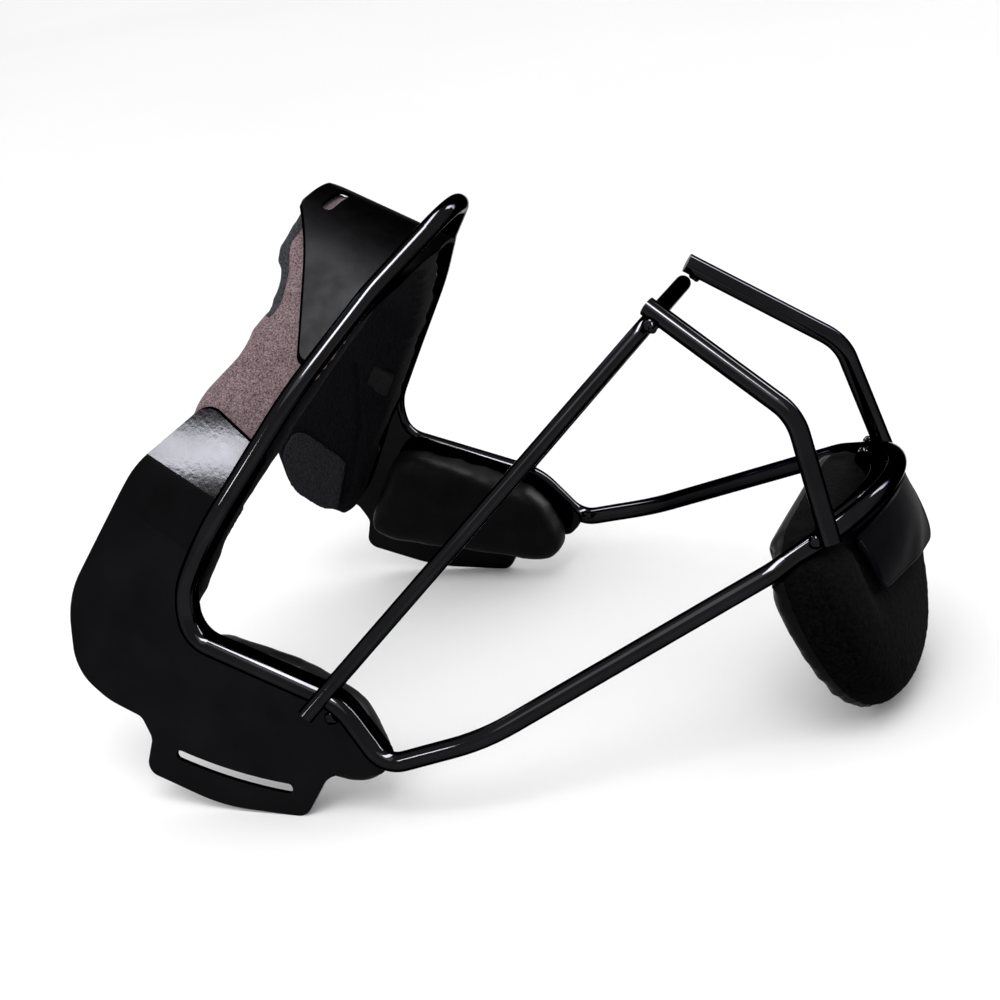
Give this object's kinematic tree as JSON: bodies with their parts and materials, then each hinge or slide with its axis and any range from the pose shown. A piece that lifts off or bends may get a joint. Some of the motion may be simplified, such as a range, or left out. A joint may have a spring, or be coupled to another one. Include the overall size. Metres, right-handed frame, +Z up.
{
  "type": "softball fielder's face guard",
  "caption": "Open wire face guard with a padded brow band, side plates with strap slots and a hinged chin cushion on a chin ring.",
  "frame": {"origin": "middle of the guard's footprint on the surface that it lies on", "axes": "+X towards the wearer's right, +Y towards the chin end, +Z up from the surface"},
  "size_m": [0.1956, 0.2444, 0.1684],
  "materials": {
    "coated_wire": "gloss black powder coat",
    "coated_plate": "gloss black coat",
    "brow_plate": "satin dark grey",
    "heather_jersey": "maroon-grey heather twill",
    "foam": "matt closed-cell foam",
    "ribbed_lining": "matt charcoal rib",
    "grey_knit": "dark grey knit",
    "hook_tape": "matt hook tape",
    "pad_skin": "smooth satin black",
    "black_fleece": "matt black fleece",
    "vinyl": "satin black vinyl"
  },
  "bodies": {
    "guard": {"perimeter_rod": "coated_wire", "chin_rod_outer": "coated_wire", "chin_rod_inner": "coated_wire", "nose_bar": "coated_wire", "right_upright": "coated_wire", "left_upright": "coated_wire", "right_temple_plate": "coated_plate", "left_temple_plate": "coated_plate", "forehead_plate": "brow_plate", "headband_cover": "heather_jersey", "headband_foam": "foam", "headband_lining": "ribbed_lining", "headband_edge": "grey_knit", "right_lining_panel": "ribbed_lining", "left_lining_panel": "ribbed_lining", "right_hook_patch": "hook_tape", "left_hook_patch": "hook_tape", "right_temple_pad": "pad_skin", "left_temple_pad": "pad_skin", "right_nose_weld": "coated_wire", "right_foot_weld": "coated_wire", "right_ring_weld": "coated_wire", "right_temple_weld": "coated_wire", "left_nose_weld": "coated_wire", "left_foot_weld": "coated_wire", "left_ring_weld": "coated_wire", "left_temple_weld": "coated_wire"},
    "chin_cushion": {"chin_pad_base": "pad_skin", "chin_pad_cushion": "black_fleece", "chin_tab_root": "vinyl"},
    "chin_flap": {"chin_tab_flap": "vinyl", "chin_tab_piping": "vinyl"}
  },
  "joints": [
    {"name": "chin_cushion_tilt", "type": "hinge", "parent": "guard", "child": "chin_cushion", "pos_m": [0, 0.11925, 0.07111], "axis": [1, 0, 0], "range_deg": [0, 8]},
    {"name": "chin_flap_peel", "type": "hinge", "parent": "chin_cushion", "child": "chin_flap", "pos_m": [0, 0.12086, 0.06734], "axis": [1, 0, 0], "range_deg": [0, 75]}
  ]
}
